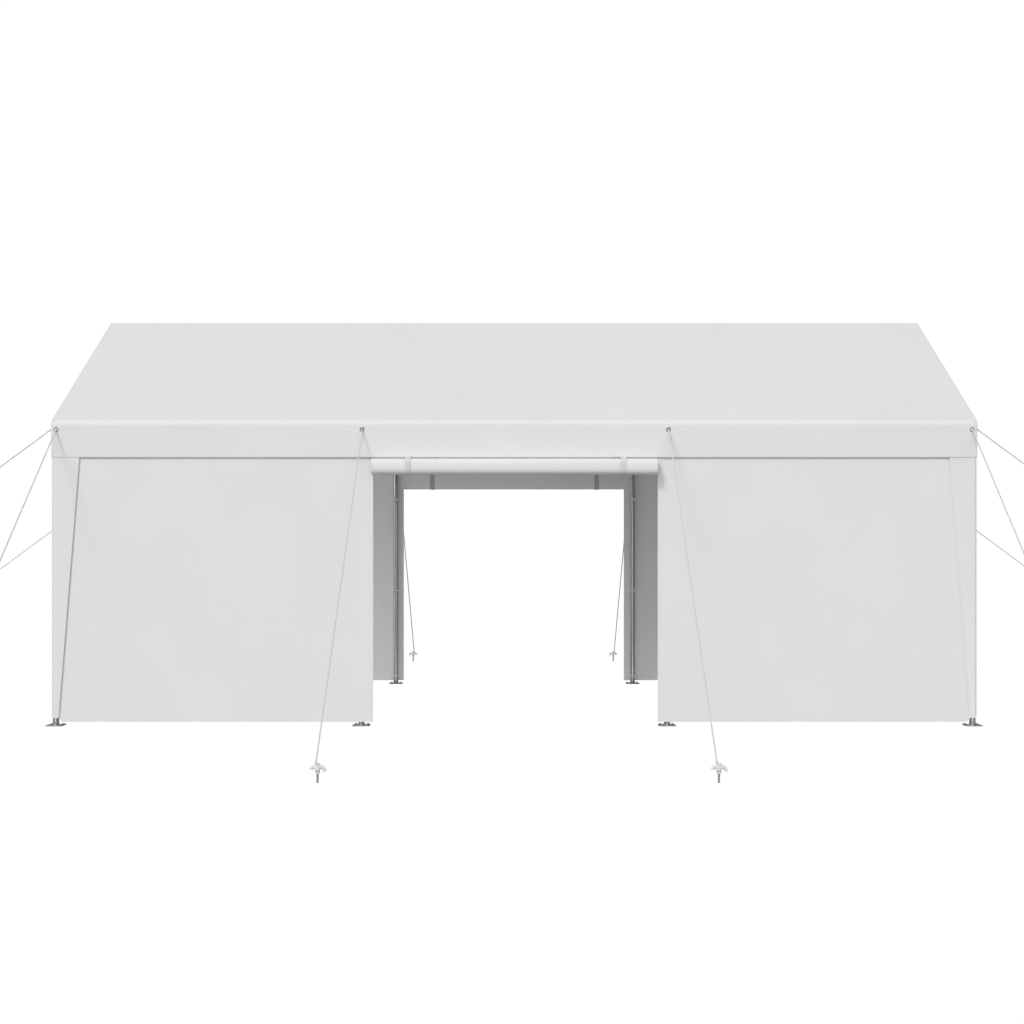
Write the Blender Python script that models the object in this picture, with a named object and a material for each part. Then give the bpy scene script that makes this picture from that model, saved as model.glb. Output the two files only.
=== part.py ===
"""Portable carport: a steel tube frame under a tarp roof, with tarp walls and guy lines.

Metres, +Z up. +X runs along the ridge and -Y is the long side with the open doorway
that is seen first. The origin is the centre of the footprint, at ground level.
"""

import math

import bmesh
import bpy
from mathutils import Matrix, Vector

# Frame: centre lines of the tubes
BAY = 2.0
LEG_XS = (-1.5 * BAY, -0.5 * BAY, 0.5 * BAY, 1.5 * BAY)
HALF_WIDTH = 1.5
EAVE_Z = 1.968
RIDGE_Z = 2.8165
TUBE_RADIUS = 0.019
TUBE_SIDES = 16
RAIL_HALF_LENGTH = 1.5 * BAY + 0.014

# Push-fit fittings that join the tubes
SLEEVE_RADIUS = 0.0205
SLEEVE_REACH = 0.100
SLEEVE_END = 1.5 * BAY + 0.020
BRANCH_RADIUS = 0.0199

# Feet
PLATE_SIZE = 0.120
PLATE_THICKNESS = 0.004
PLATE_CORNER = 0.010
SOCKET_RADIUS = 0.0205
SOCKET_HEIGHT = 0.045
NAIL_OFFSET = 0.040
NAIL_HEAD_RADIUS = 0.0065
NAIL_HEAD_HEIGHT = 0.004

# Gap kept where two solids touch
SEAT = 0.0003

# Roof cover: outer half length, and outer radii round the eave and ridge tubes
ROOF_HALF_LENGTH = 3.028
ROOF_THICKNESS = 0.0035
ROOF_EAVE_RADIUS = 0.0360
ROOF_RIDGE_RADIUS = SLEEVE_RADIUS + SEAT + ROOF_THICKNESS
VALANCE_DEPTH = 0.212
ARC_STEPS = 4

# Tarp walls
WALL_THICKNESS = 0.003
WALL_FOOT_Z = 0.029
WALL_Y = HALF_WIDTH + SLEEVE_RADIUS + SEAT
END_WALL_X = 1.5 * BAY + SLEEVE_RADIUS + SEAT
DOORWAY_HALF_WIDTH = 0.930

# Corner flap of an end wall, which laps round onto the long side
FLAP_OUTER_Y = 1.5320
FLAP_TOP_Z = 1.900
FLAP_TOP_X = 2.830
FLAP_FOOT_X = 2.9765

# Doorway panel, rolled up under the eave and strapped
ROLL_HALF_LENGTH = DOORWAY_HALF_WIDTH - 0.005
ROLL_RADIUS = 0.0495
ROLL_Z = 1.692
ROLL_SIDES = 32
STRAP_X = 0.700
STRAP_WIDTH = 0.035
STRAP_THICKNESS = 0.0018
STRAP_TOP_Z = 1.900

# Guy lines and their stakes
ROPE_RADIUS = 0.0025
GROMMET_Z = 1.929
ROPE_FOOT_Z = 0.0855
GUY_RUN_SIDE = 2.43
GUY_RUN_END = 2.53
MIDDLE_STAKE_DRIFT = {"front": 0.020, "rear": -0.010}
STAKE_RADIUS = 0.0056
STAKE_TOP_Z = 0.062
HEAD_RADIUS = 0.042
HEAD_THICKNESS = 0.017
HEAD_DEPTH = 0.016
HEAD_CENTRE_Z = 0.055
HEAD_STEPS = 9
HUB_RADIUS = 0.009
HUB_FOOT_Z = 0.048
HUB_TOP_Z = 0.088
STAKE_SIDES = 10

# Turns the XY plane of a flat outline to the plane it is drawn for
ACROSS = Matrix(((0, 0, 1), (1, 0, 0), (0, 1, 0))).to_4x4()
ALONG = Matrix(((1, 0, 0), (0, 0, -1), (0, 1, 0))).to_4x4()


def clear_scene():
    for obj in list(bpy.data.objects):
        bpy.data.objects.remove(obj, do_unlink=True)


def new_collection(name):
    collection = bpy.data.collections.new(name)
    bpy.context.scene.collection.children.link(collection)
    return collection


def material(name, colour, roughness, metallic):
    made = bpy.data.materials.new(name)
    made.use_nodes = True
    shader = made.node_tree.nodes["Principled BSDF"]
    shader.inputs["Base Color"].default_value = (*colour, 1.0)
    shader.inputs["Roughness"].default_value = roughness
    shader.inputs["Metallic"].default_value = metallic
    return made


def mesh_object(name, build):
    """An object whose mesh is what build(bm) leaves in an empty bmesh."""
    mesh = bpy.data.meshes.new(name)
    bm = bmesh.new()
    build(bm)
    bm.to_mesh(mesh)
    bm.free()
    obj = bpy.data.objects.new(name, mesh)
    bpy.context.scene.collection.objects.link(obj)
    return obj


def finish_as_part(obj, finish):
    """Put a finished piece in the carport's collection with its material."""
    obj.data.materials.clear()
    obj.data.materials.append(finish)
    bpy.context.scene.collection.objects.unlink(obj)
    PARTS.objects.link(obj)
    obj.parent = CARPORT
    return obj


def hide_as_helper(obj):
    bpy.context.scene.collection.objects.unlink(obj)
    HELPERS.objects.link(obj)
    obj.hide_render = True
    obj.display_type = "WIRE"


def boolean(body, other, operation):
    modifier = body.modifiers.new(other.name, "BOOLEAN")
    modifier.operation = operation
    modifier.solver = "EXACT"
    modifier.object = other
    hide_as_helper(other)


def evaluated_mesh(obj):
    graph = bpy.context.evaluated_depsgraph_get()
    return bpy.data.meshes.new_from_object(obj.evaluated_get(graph))


def cylinder(name, start, end, radius, sides=TUBE_SIDES):
    start = Vector(start)
    run = Vector(end) - start

    def build(bm):
        bmesh.ops.create_cone(
            bm, cap_ends=True, segments=sides, radius1=radius, radius2=radius, depth=run.length
        )

    obj = mesh_object(name, build)
    obj.data.shade_smooth()
    obj.data.set_sharp_from_angle(angle=math.radians(40))
    obj.matrix_world = Matrix.Translation(start + run / 2) @ run.to_track_quat("Z", "Y").to_matrix().to_4x4()
    return obj


def box(name, low, high):
    low = Vector(low)
    high = Vector(high)

    def build(bm):
        bmesh.ops.create_cube(bm, size=1.0)
        bmesh.ops.scale(bm, vec=high - low, verts=bm.verts)

    obj = mesh_object(name, build)
    obj.location = (low + high) / 2
    return obj


def plate(name, outline, thickness, turn, place):
    """A flat outline of the given thickness, turned to its plane and centred on place."""
    curve = bpy.data.curves.new(name, "CURVE")
    curve.dimensions = "2D"
    curve.fill_mode = "BOTH"
    curve.extrude = thickness / 2
    spline = curve.splines.new("POLY")
    spline.points.add(len(outline) - 1)
    for point, (u, v) in zip(spline.points, outline):
        point.co = (u, v, 0.0, 1.0)
    spline.use_cyclic_u = True
    drawn = bpy.data.objects.new(name + "_outline", curve)
    bpy.context.scene.collection.objects.link(drawn)
    bpy.context.view_layer.update()
    flat = evaluated_mesh(drawn)
    bpy.data.objects.remove(drawn, do_unlink=True)

    def build(bm):
        bm.from_mesh(flat)
        bmesh.ops.remove_doubles(bm, verts=bm.verts, dist=0.00001)
        bmesh.ops.recalc_face_normals(bm, faces=bm.faces)

    obj = mesh_object(name, build)
    bpy.data.meshes.remove(flat)
    obj.matrix_world = Matrix.Translation(place) @ turn
    return obj


def arc(centre, radius, start, end, steps):
    """Points (u, v) on a circle, from one angle in degrees to another."""
    points = []
    for step in range(steps + 1):
        angle = math.radians(start + (end - start) * step / steps)
        points.append((centre[0] + radius * math.cos(angle), centre[1] + radius * math.sin(angle)))
    return points


def gable_outline(eave_radius, ridge_radius, foot_z, drop=0.0):
    """House-shaped section (y, z), rounded at the given radii round the eave and ridge tubes."""
    rise = RIDGE_Z - EAVE_Z
    pitch = math.atan2(rise, HALF_WIDTH)
    taper = math.asin((eave_radius - ridge_radius) / math.hypot(rise, HALF_WIDTH))
    normal = 90 + math.degrees(pitch - taper)
    half = [(-HALF_WIDTH - eave_radius, foot_z)]
    half += arc((-HALF_WIDTH, EAVE_Z - drop), eave_radius, 180, normal, ARC_STEPS)
    half += arc((0.0, RIDGE_Z - drop), ridge_radius, normal, 90, ARC_STEPS)
    return half + [(-y, z) for y, z in reversed(half[:-1])]


def make_rail(name, z, branches, finish):
    """A rail along X with a push-fit sleeve and its branches at every leg."""
    y = branches[0][0][0]
    rail = cylinder(name, (-RAIL_HALF_LENGTH, y, z), (RAIL_HALF_LENGTH, y, z), TUBE_RADIUS)
    for number, x in enumerate(LEG_XS, start=1):
        low = max(x - SLEEVE_REACH, -SLEEVE_END)
        high = min(x + SLEEVE_REACH, SLEEVE_END)
        sleeve = cylinder(f"{name}_sleeve_{number}", (low, y, z), (high, y, z), SLEEVE_RADIUS)
        boolean(rail, sleeve, "UNION")
        for side, ((y0, z0), (y1, z1)) in enumerate(branches, start=1):
            branch = cylinder(f"{name}_branch_{number}_{side}", (x, y0, z0), (x, y1, z1), BRANCH_RADIUS)
            boolean(rail, branch, "UNION")
    return finish_as_part(rail, finish)


def rafter_point(side, share):
    """Point (y, z) at a share of the way from the eave tube's centre to the ridge's."""
    return side * HALF_WIDTH * (1 - share), EAVE_Z + (RIDGE_Z - EAVE_Z) * share


def make_frame(finish):
    length = math.hypot(HALF_WIDTH, RIDGE_Z - EAVE_Z)
    reach = SLEEVE_REACH / length
    seat = (SLEEVE_REACH + SEAT) / length
    ridge = (0.0, RIDGE_Z)
    for word, side in (("front", -1), ("rear", 1)):
        eave = (side * HALF_WIDTH, EAVE_Z)
        down = (side * HALF_WIDTH, EAVE_Z - SLEEVE_REACH)
        branches = [(eave, down), (eave, rafter_point(side, reach))]
        make_rail(f"eave_rail_{word}", EAVE_Z, branches, finish)
        for number, x in enumerate(LEG_XS, start=1):
            low = rafter_point(side, seat)
            high = rafter_point(side, 1 - seat)
            rafter = cylinder(f"rafter_{word}_{number}", (x, *low), (x, *high), TUBE_RADIUS)
            finish_as_part(rafter, finish)
            foot = (x, side * HALF_WIDTH, PLATE_THICKNESS + SEAT)
            head = (x, side * HALF_WIDTH, EAVE_Z - SLEEVE_REACH - SEAT)
            leg = cylinder(f"leg_{word}_{number}", foot, head, TUBE_RADIUS)
            finish_as_part(leg, finish)
    branches = [(ridge, rafter_point(-1, 1 - reach)), (ridge, rafter_point(1, 1 - reach))]
    make_rail("ridge_rail", RIDGE_Z, branches, finish)


def make_feet(finish):
    half = PLATE_SIZE / 2

    def build(bm):
        bmesh.ops.create_cube(bm, size=1.0)
        bmesh.ops.scale(bm, vec=(PLATE_SIZE, PLATE_SIZE, PLATE_THICKNESS), verts=bm.verts)
        bmesh.ops.translate(bm, vec=(0.0, 0.0, PLATE_THICKNESS / 2), verts=bm.verts)
        upright = [e for e in bm.edges if abs(e.verts[0].co.z - e.verts[1].co.z) > PLATE_THICKNESS / 2]
        bmesh.ops.bevel(bm, geom=upright, offset=PLATE_CORNER, segments=2, profile=0.5, affect="EDGES")

    master = mesh_object("foot_master", build)
    low = PLATE_THICKNESS / 2
    socket = cylinder("foot_socket", (0, 0, low), (0, 0, SOCKET_HEIGHT), SOCKET_RADIUS)
    boolean(master, socket, "UNION")
    for number, (u, v) in enumerate(((-1, -1), (1, -1), (1, 1), (-1, 1)), start=1):
        x = u * NAIL_OFFSET
        y = v * NAIL_OFFSET
        top = PLATE_THICKNESS + NAIL_HEAD_HEIGHT
        nail = cylinder(f"foot_nail_{number}", (x, y, low), (x, y, top), NAIL_HEAD_RADIUS, 8)
        boolean(master, nail, "UNION")
    floor = PLATE_THICKNESS
    bore = cylinder("foot_bore", (0, 0, floor), (0, 0, 2 * SOCKET_HEIGHT), TUBE_RADIUS + SEAT)
    boolean(master, bore, "DIFFERENCE")
    bpy.context.view_layer.update()
    mesh = evaluated_mesh(master)
    mesh.name = "foot"
    hide_as_helper(master)
    for word, side in (("front", -1), ("rear", 1)):
        for number, x in enumerate(LEG_XS, start=1):
            foot = bpy.data.objects.new(f"foot_{word}_{number}", mesh.copy())
            bpy.context.scene.collection.objects.link(foot)
            foot.location = (x, side * HALF_WIDTH, 0.0)
            finish_as_part(foot, finish)


def make_roof_cover(finish):
    """Two slopes with a valance hanging from the eaves and from the sloping end edges."""
    foot = EAVE_Z - VALANCE_DEPTH
    inner_eave = ROOF_EAVE_RADIUS - ROOF_THICKNESS
    inner_ridge = ROOF_RIDGE_RADIUS - ROOF_THICKNESS
    outline = gable_outline(ROOF_EAVE_RADIUS, ROOF_RIDGE_RADIUS, foot)
    cover = plate("roof_cover", outline, 2 * ROOF_HALF_LENGTH, ACROSS, (0, 0, 0))
    room = gable_outline(inner_eave, inner_ridge, foot - VALANCE_DEPTH)
    room_length = 2 * (ROOF_HALF_LENGTH - ROOF_THICKNESS)
    boolean(cover, plate("roof_room", room, room_length, ACROSS, (0, 0, 0)), "DIFFERENCE")
    opening = gable_outline(inner_eave - 0.001, inner_ridge, foot - VALANCE_DEPTH, VALANCE_DEPTH)
    opening_length = 2 * ROOF_HALF_LENGTH + 1.0
    boolean(cover, plate("roof_end_opening", opening, opening_length, ACROSS, (0, 0, 0)), "DIFFERENCE")
    finish_as_part(cover, finish)


def make_side_walls(finish):
    outer = WALL_Y + WALL_THICKNESS
    for word, side in (("front", -1), ("rear", 1)):
        near, far = sorted((side * WALL_Y, side * outer))
        for name, x0, x1 in (
            ("left", -END_WALL_X + 0.0005, -DOORWAY_HALF_WIDTH),
            ("right", DOORWAY_HALF_WIDTH, END_WALL_X - 0.0005),
        ):
            wall = box(f"{word}_wall_{name}", (x0, near, WALL_FOOT_Z), (x1, far, EAVE_Z))
            finish_as_part(wall, finish)


def make_wall_rolls(finish):
    """The doorway panels, each hanging from the eave and rolled up outside the wall."""
    outer = WALL_Y + WALL_THICKNESS
    axis = outer + ROLL_RADIUS - 0.001
    for word, side in (("front", -1), ("rear", 1)):
        name = f"{word}_wall_roll"
        near, far = sorted((side * WALL_Y, side * outer))
        hung = box(name, (-ROLL_HALF_LENGTH, near, ROLL_Z), (ROLL_HALF_LENGTH, far, EAVE_Z))
        start = (-ROLL_HALF_LENGTH, side * axis, ROLL_Z)
        end = (ROLL_HALF_LENGTH, side * axis, ROLL_Z)
        boolean(hung, cylinder(name + "_roll", start, end, ROLL_RADIUS, ROLL_SIDES), "UNION")
        for number, x in enumerate((-STRAP_X, STRAP_X), start=1):
            left = x - STRAP_WIDTH / 2
            right = x + STRAP_WIDTH / 2
            start = (left, side * axis, ROLL_Z)
            end = (right, side * axis, ROLL_Z)
            loop_radius = ROLL_RADIUS + STRAP_THICKNESS
            loop = cylinder(f"{name}_loop_{number}", start, end, loop_radius, ROLL_SIDES)
            boolean(hung, loop, "UNION")
            near, far = sorted((side * (outer - 0.001), side * (outer + STRAP_THICKNESS)))
            strap = box(f"{name}_strap_{number}", (left, near, ROLL_Z), (right, far, STRAP_TOP_Z))
            boolean(hung, strap, "UNION")
        finish_as_part(hung, finish)


def make_end_walls(finish):
    """Each end wall fills the gable and laps a slanted flap round both corners."""
    outline = gable_outline(FLAP_OUTER_Y - HALF_WIDTH, SLEEVE_RADIUS - 0.0002, WALL_FOOT_Z)
    outer_x = END_WALL_X + WALL_THICKNESS
    for word, side in (("left", -1), ("right", 1)):
        middle = side * (END_WALL_X + WALL_THICKNESS / 2)
        wall = plate(f"end_wall_{word}", outline, WALL_THICKNESS, ACROSS, (middle, 0, 0))
        flap = [
            (side * outer_x, WALL_FOOT_Z),
            (side * FLAP_FOOT_X, WALL_FOOT_Z),
            (side * FLAP_TOP_X, FLAP_TOP_Z),
            (side * outer_x, FLAP_TOP_Z),
        ]
        for corner, reach in (("front", -1), ("rear", 1)):
            place = (0, reach * (FLAP_OUTER_Y - WALL_THICKNESS / 2), 0)
            lap = plate(f"end_wall_{word}_flap_{corner}", flap, WALL_THICKNESS, ALONG, place)
            boolean(wall, lap, "UNION")
        finish_as_part(wall, finish)


def stake_master():
    """A driven stake above the ground: steel shaft, hub and an arched head that holds the rope."""
    shaft = cylinder("stake_master", (0, 0, 0), (0, 0, STAKE_TOP_Z), STAKE_RADIUS, STAKE_SIDES)
    hub = cylinder("stake_hub", (0, 0, HUB_FOOT_Z), (0, 0, HUB_TOP_Z), HUB_RADIUS, STAKE_SIDES)
    boolean(shaft, hub, "UNION")
    centre = (0.0, HEAD_CENTRE_Z)
    outline = arc(centre, HEAD_RADIUS, 180, 0, HEAD_STEPS)
    outline += arc(centre, HEAD_RADIUS - HEAD_THICKNESS, 0, 180, HEAD_STEPS)
    boolean(shaft, plate("stake_head", outline, HEAD_DEPTH, ALONG, (0, 0, 0)), "UNION")
    bpy.context.view_layer.update()
    mesh = evaluated_mesh(shaft)
    mesh.transform(shaft.matrix_world)
    hide_as_helper(shaft)
    return mesh


def rope(name, start, end):
    """A taut rope as a welded mesh tube."""
    curve = bpy.data.curves.new(name, "CURVE")
    curve.dimensions = "3D"
    curve.bevel_depth = ROPE_RADIUS
    curve.bevel_resolution = 2
    curve.use_fill_caps = True
    spline = curve.splines.new("POLY")
    spline.points.add(1)
    spline.points[0].co = (*start, 1.0)
    spline.points[1].co = (*end, 1.0)
    drawn = bpy.data.objects.new(name + "_line", curve)
    bpy.context.scene.collection.objects.link(drawn)
    bpy.context.view_layer.update()
    tube = evaluated_mesh(drawn)
    bpy.data.objects.remove(drawn, do_unlink=True)

    def build(bm):
        bm.from_mesh(tube)
        bmesh.ops.remove_doubles(bm, verts=bm.verts, dist=0.00001)
        bmesh.ops.recalc_face_normals(bm, faces=bm.faces)

    return mesh_object(name, build)


def make_guy_line(name, grommet, place, turned, stake, finish):
    """A rope from a grommet in the valance to the stake driven at place."""
    obj = bpy.data.objects.new(name, stake.copy())
    bpy.context.scene.collection.objects.link(obj)
    obj.location = (place[0], place[1], 0.0)
    obj.rotation_euler.z = math.radians(90) if turned else 0.0
    foot = (place[0], place[1], ROPE_FOOT_Z)
    boolean(obj, rope(name + "_rope", grommet, foot), "UNION")
    finish_as_part(obj, finish)


def rope_standoff(run):
    """How far a rope's end stands off the valance, so that its slanted cap just clears it."""
    drop = GROMMET_Z - ROPE_FOOT_Z
    return ROPE_RADIUS * drop / math.hypot(run, drop) + SEAT


def make_guy_lines(finish):
    stake = stake_master()
    off_side = HALF_WIDTH + ROOF_EAVE_RADIUS + rope_standoff(GUY_RUN_SIDE)
    off_end = ROOF_HALF_LENGTH + rope_standoff(GUY_RUN_END)
    for word, side in (("front", -1), ("rear", 1)):
        for number, x in enumerate(LEG_XS, start=1):
            drift = MIDDLE_STAKE_DRIFT[word] if number in (2, 3) else 0.0
            grommet = (x, side * off_side, GROMMET_Z)
            place = (x + drift, side * (HALF_WIDTH + GUY_RUN_SIDE))
            make_guy_line(f"guy_line_{word}_{number}", grommet, place, False, stake, finish)
        for end, reach in (("left", -1), ("right", 1)):
            grommet = (reach * off_end, side * HALF_WIDTH, GROMMET_Z)
            place = (reach * (1.5 * BAY + GUY_RUN_END), side * HALF_WIDTH)
            make_guy_line(f"guy_line_{end}_{word}", grommet, place, True, stake, finish)


clear_scene()
PARTS = new_collection("portable_carport")
HELPERS = new_collection("helpers")
CARPORT = bpy.data.objects.new("carport", None)
PARTS.objects.link(CARPORT)

make_frame(material("frame_steel", (0.32, 0.32, 0.33), 0.38, 0.85))
make_feet(material("foot_steel", (0.24, 0.24, 0.25), 0.5, 0.8))
make_roof_cover(material("roof_tarp", (0.80, 0.80, 0.80), 0.55, 0.0))
make_side_walls(material("wall_tarp", (0.77, 0.77, 0.77), 0.55, 0.0))
make_wall_rolls(material("rolled_tarp", (0.78, 0.78, 0.78), 0.55, 0.0))
make_end_walls(material("end_tarp", (0.77, 0.77, 0.77), 0.55, 0.0))
make_guy_lines(material("guy_rope", (0.66, 0.66, 0.64), 0.8, 0.0))
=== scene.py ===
import math

import bmesh
import bpy
from mathutils import Matrix, Vector, noise


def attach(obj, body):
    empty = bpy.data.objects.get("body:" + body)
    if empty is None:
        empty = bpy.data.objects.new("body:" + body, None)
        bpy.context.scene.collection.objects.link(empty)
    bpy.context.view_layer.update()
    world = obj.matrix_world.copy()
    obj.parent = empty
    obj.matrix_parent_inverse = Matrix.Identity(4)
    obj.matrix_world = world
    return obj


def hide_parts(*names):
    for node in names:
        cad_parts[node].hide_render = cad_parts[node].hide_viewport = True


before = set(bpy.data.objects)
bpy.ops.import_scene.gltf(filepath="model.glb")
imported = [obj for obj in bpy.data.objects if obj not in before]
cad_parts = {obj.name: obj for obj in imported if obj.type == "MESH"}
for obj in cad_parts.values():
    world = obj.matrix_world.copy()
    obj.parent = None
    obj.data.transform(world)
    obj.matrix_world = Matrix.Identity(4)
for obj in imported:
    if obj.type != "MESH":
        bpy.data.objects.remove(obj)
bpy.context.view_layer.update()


# Foot plates: a 114 mm square of 4 mm steel stands under each of the eight legs. A short
# socket that the leg drops into is welded to its middle, and four round-headed nails are
# driven through its corners into the ground, so that their heads stand a little proud.
LEG_XS = (-3.0, -1.0, 1.0, 3.0)
LEG_Y = 1.5
SIDES = (("front", -1), ("rear", 1))
PLATE_SIZE = 0.114
PLATE_THICKNESS = 0.004
PLATE_CORNER = 0.014
SOCKET_RADIUS = 0.0205
SOCKET_WALL = 0.0012
SOCKET_TOP = 0.045
NAIL_OFFSET = 0.040
NAIL_RADIUS = 0.003
NAIL_HEAD_RADIUS = 0.0072
NAIL_HEAD_FOOT = 0.0055
NAIL_HEAD_TOP = 0.0118


class Signal:
    """A shader socket that Python sums can be written with."""

    def __init__(self, tree, socket=None):
        self.tree = tree
        self.socket = socket

    def node(self, kind, settings=None, sockets=None, output=0):
        """Any node: its settings are set first, then the values or links of its sockets."""
        made = self.tree.nodes.new(kind)
        for name, value in (settings or {}).items():
            setattr(made, name, value)
        for name, value in (sockets or {}).items():
            if isinstance(value, Signal):
                self.tree.links.new(value.socket, made.inputs[name])
            else:
                made.inputs[name].default_value = value
        return Signal(self.tree, made.outputs[output])

    def output(self, name):
        return Signal(self.tree, self.socket.node.outputs[name])

    def maths(self, operation, *values):
        sockets = dict(enumerate(values))
        return self.node("ShaderNodeMath", {"operation": operation}, sockets)

    def __add__(self, other):
        return self.maths("ADD", self, other)

    __radd__ = __add__

    def __sub__(self, other):
        return self.maths("SUBTRACT", self, other)

    def __rsub__(self, other):
        return self.maths("SUBTRACT", other, self)

    def __mul__(self, other):
        return self.maths("MULTIPLY", self, other)

    __rmul__ = __mul__

    def __truediv__(self, other):
        return self.maths("DIVIDE", self, other)

    def __lt__(self, other):
        return self.maths("LESS_THAN", self, other)

    def __gt__(self, other):
        return self.maths("GREATER_THAN", self, other)

    def __abs__(self):
        return self.maths("ABSOLUTE", self)

    def least(self, other):
        return self.maths("MINIMUM", self, other)

    def wave(self):
        return self.maths("SINE", self)

    def part(self):
        return self.maths("FRACT", self)

    def ramp(self, low, high, at_low=0.0, at_high=1.0):
        """Runs smoothly from one value to another between low and high."""
        ends = {1: low, 2: high, 3: at_low, 4: at_high}
        settings = {"interpolation_type": "SMOOTHSTEP"}
        return self.node("ShaderNodeMapRange", settings, {0: self, **ends})

    def blend(self, first, second):
        """A colour mixed from two others by this value."""
        sockets = {0: self, 6: first, 7: second}
        return self.node("ShaderNodeMix", {"data_type": "RGBA"}, sockets, 2)


def grey(value, warmth=0.0):
    return (value * (1 + warmth), value, value * (1 - warmth), 1.0)


def new_material(name, **constants):
    """A Principled material with its constant sockets set, and a Signal that starts its nodes."""
    made = bpy.data.materials.new(name)
    made.use_nodes = True
    shader = made.node_tree.nodes["Principled BSDF"]
    for socket, value in constants.items():
        shader.inputs[socket.replace("_", " ")].default_value = value
    return made, Signal(made.node_tree)


def feed(material, **signals):
    shader = material.node_tree.nodes["Principled BSDF"]
    for socket, signal in signals.items():
        material.node_tree.links.new(signal.socket, shader.inputs[socket.replace("_", " ")])


def clouds(start, scale, detail=2.0, coordinates=None):
    """Soft noise from 0 to 1, on the object's own coordinates unless others are given."""
    if coordinates is None:
        coordinates = start.node("ShaderNodeTexCoord", output="Object")
    sockets = {"Vector": coordinates, "Scale": scale, "Detail": detail}
    return start.node("ShaderNodeTexNoise", None, sockets)


def bump(start, height, strength, distance, under=None):
    sockets = {"Height": height, "Strength": strength, "Distance": distance}
    if under is not None:
        sockets["Normal"] = under
    return start.node("ShaderNodeBump", None, sockets)


def new_piece(add, name, **settings):
    """A primitive with its place in its mesh, and nothing else selected."""
    bpy.ops.object.select_all(action="DESELECT")
    add(**settings)
    piece = bpy.context.object
    piece.name = name
    piece.data.name = name
    bpy.ops.object.transform_apply(location=True, rotation=True, scale=True)
    return piece


def torus(name, major, minor, around, across, **place):
    return new_piece(
        bpy.ops.mesh.primitive_torus_add,
        name,
        major_radius=major,
        minor_radius=minor,
        major_segments=around,
        minor_segments=across,
        **place,
    )


def cylinder(name, sides, radius, depth, **place):
    add = bpy.ops.mesh.primitive_cylinder_add
    return new_piece(add, name, vertices=sides, radius=radius, depth=depth, **place)


def ball(name, around, across, location, scale):
    return new_piece(
        bpy.ops.mesh.primitive_uv_sphere_add,
        name,
        segments=around,
        ring_count=across,
        radius=1.0,
        location=location,
        scale=scale,
    )


def edit(piece, kind, test):
    """Open a piece in edit mode with only the edges or faces that pass a test selected."""
    bpy.ops.object.select_all(action="DESELECT")
    piece.select_set(True)
    bpy.context.view_layer.objects.active = piece
    bpy.ops.object.mode_set(mode="EDIT")
    bpy.ops.mesh.select_mode(type=kind)
    bpy.ops.mesh.select_all(action="DESELECT")
    bm = bmesh.from_edit_mesh(piece.data)
    for part in bm.edges if kind == "EDGE" else bm.faces:
        part.select_set(test(part))
    bmesh.update_edit_mesh(piece.data)


def done():
    bpy.ops.object.mode_set(mode="OBJECT")


def bevel(piece, width, segments, test):
    edit(piece, "EDGE", test)
    bpy.ops.mesh.bevel(offset=width, segments=segments, profile=0.5, affect="EDGES")
    done()


def rim(edge):
    """True for an edge between two faces that meet at a right angle or so."""
    return edge.is_manifold and edge.calc_face_angle() > math.radians(60)


def modify(piece, kind, **settings):
    bpy.context.view_layer.objects.active = piece
    modifier = piece.modifiers.new(kind.lower(), kind)
    for name, value in settings.items():
        setattr(modifier, name, value)
    bpy.ops.object.modifier_apply(modifier=modifier.name)


def join(first, *others):
    bpy.ops.object.select_all(action="DESELECT")
    for piece in (first, *others):
        piece.select_set(True)
    bpy.context.view_layer.objects.active = first
    bpy.ops.object.join()
    return first


def smooth(piece, degrees=35):
    bpy.ops.object.select_all(action="DESELECT")
    piece.select_set(True)
    bpy.context.view_layer.objects.active = piece
    bpy.ops.object.shade_smooth_by_angle(angle=math.radians(degrees))


def copy_of(piece, name, move):
    """A copy with its own mesh, moved by a matrix that goes into the mesh."""
    mesh = piece.data.copy()
    mesh.name = name
    mesh.transform(move)
    made = bpy.data.objects.new(name, mesh)
    bpy.context.scene.collection.objects.link(made)
    return made


def fit(piece, slot, *nodes, material=None):
    """Fix a finished piece to the carport, in place of the CAD nodes that it stands for."""
    if material is not None:
        piece.data.materials.clear()
        piece.data.materials.append(material)
    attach(piece, "root")
    if nodes:
        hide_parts(*nodes)


def drop(piece):
    bpy.data.objects.remove(piece, do_unlink=True)


plate_steel, start = new_material("plate_steel", Metallic=0.75, Specular_IOR_Level=0.3)
mottle = clouds(start, 60.0, 4.0)
grime = clouds(start, 14.0, 3.0)
place = start.node("ShaderNodeTexCoord", output="Object")
# Below 2.2 mm of height the steel is painted near black: a painted shade that darkens the plate's
# sides under its lit top, and the feet of the stake shafts too.
level = start.node("ShaderNodeSeparateXYZ", None, {0: place}, "Z")
mottled_top = (0.6 * mottle + 0.4 * grime).ramp(0.3, 0.7).blend(grey(0.32), grey(0.52))
feed(
    plate_steel,
    Base_Color=level.ramp(0.0022, 0.0036).blend(grey(0.14), mottled_top),
    Roughness=grime.ramp(0.3, 0.7, 0.26, 0.40),
    Normal=bump(start, mottle, 0.25, 0.0006),
)

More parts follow.
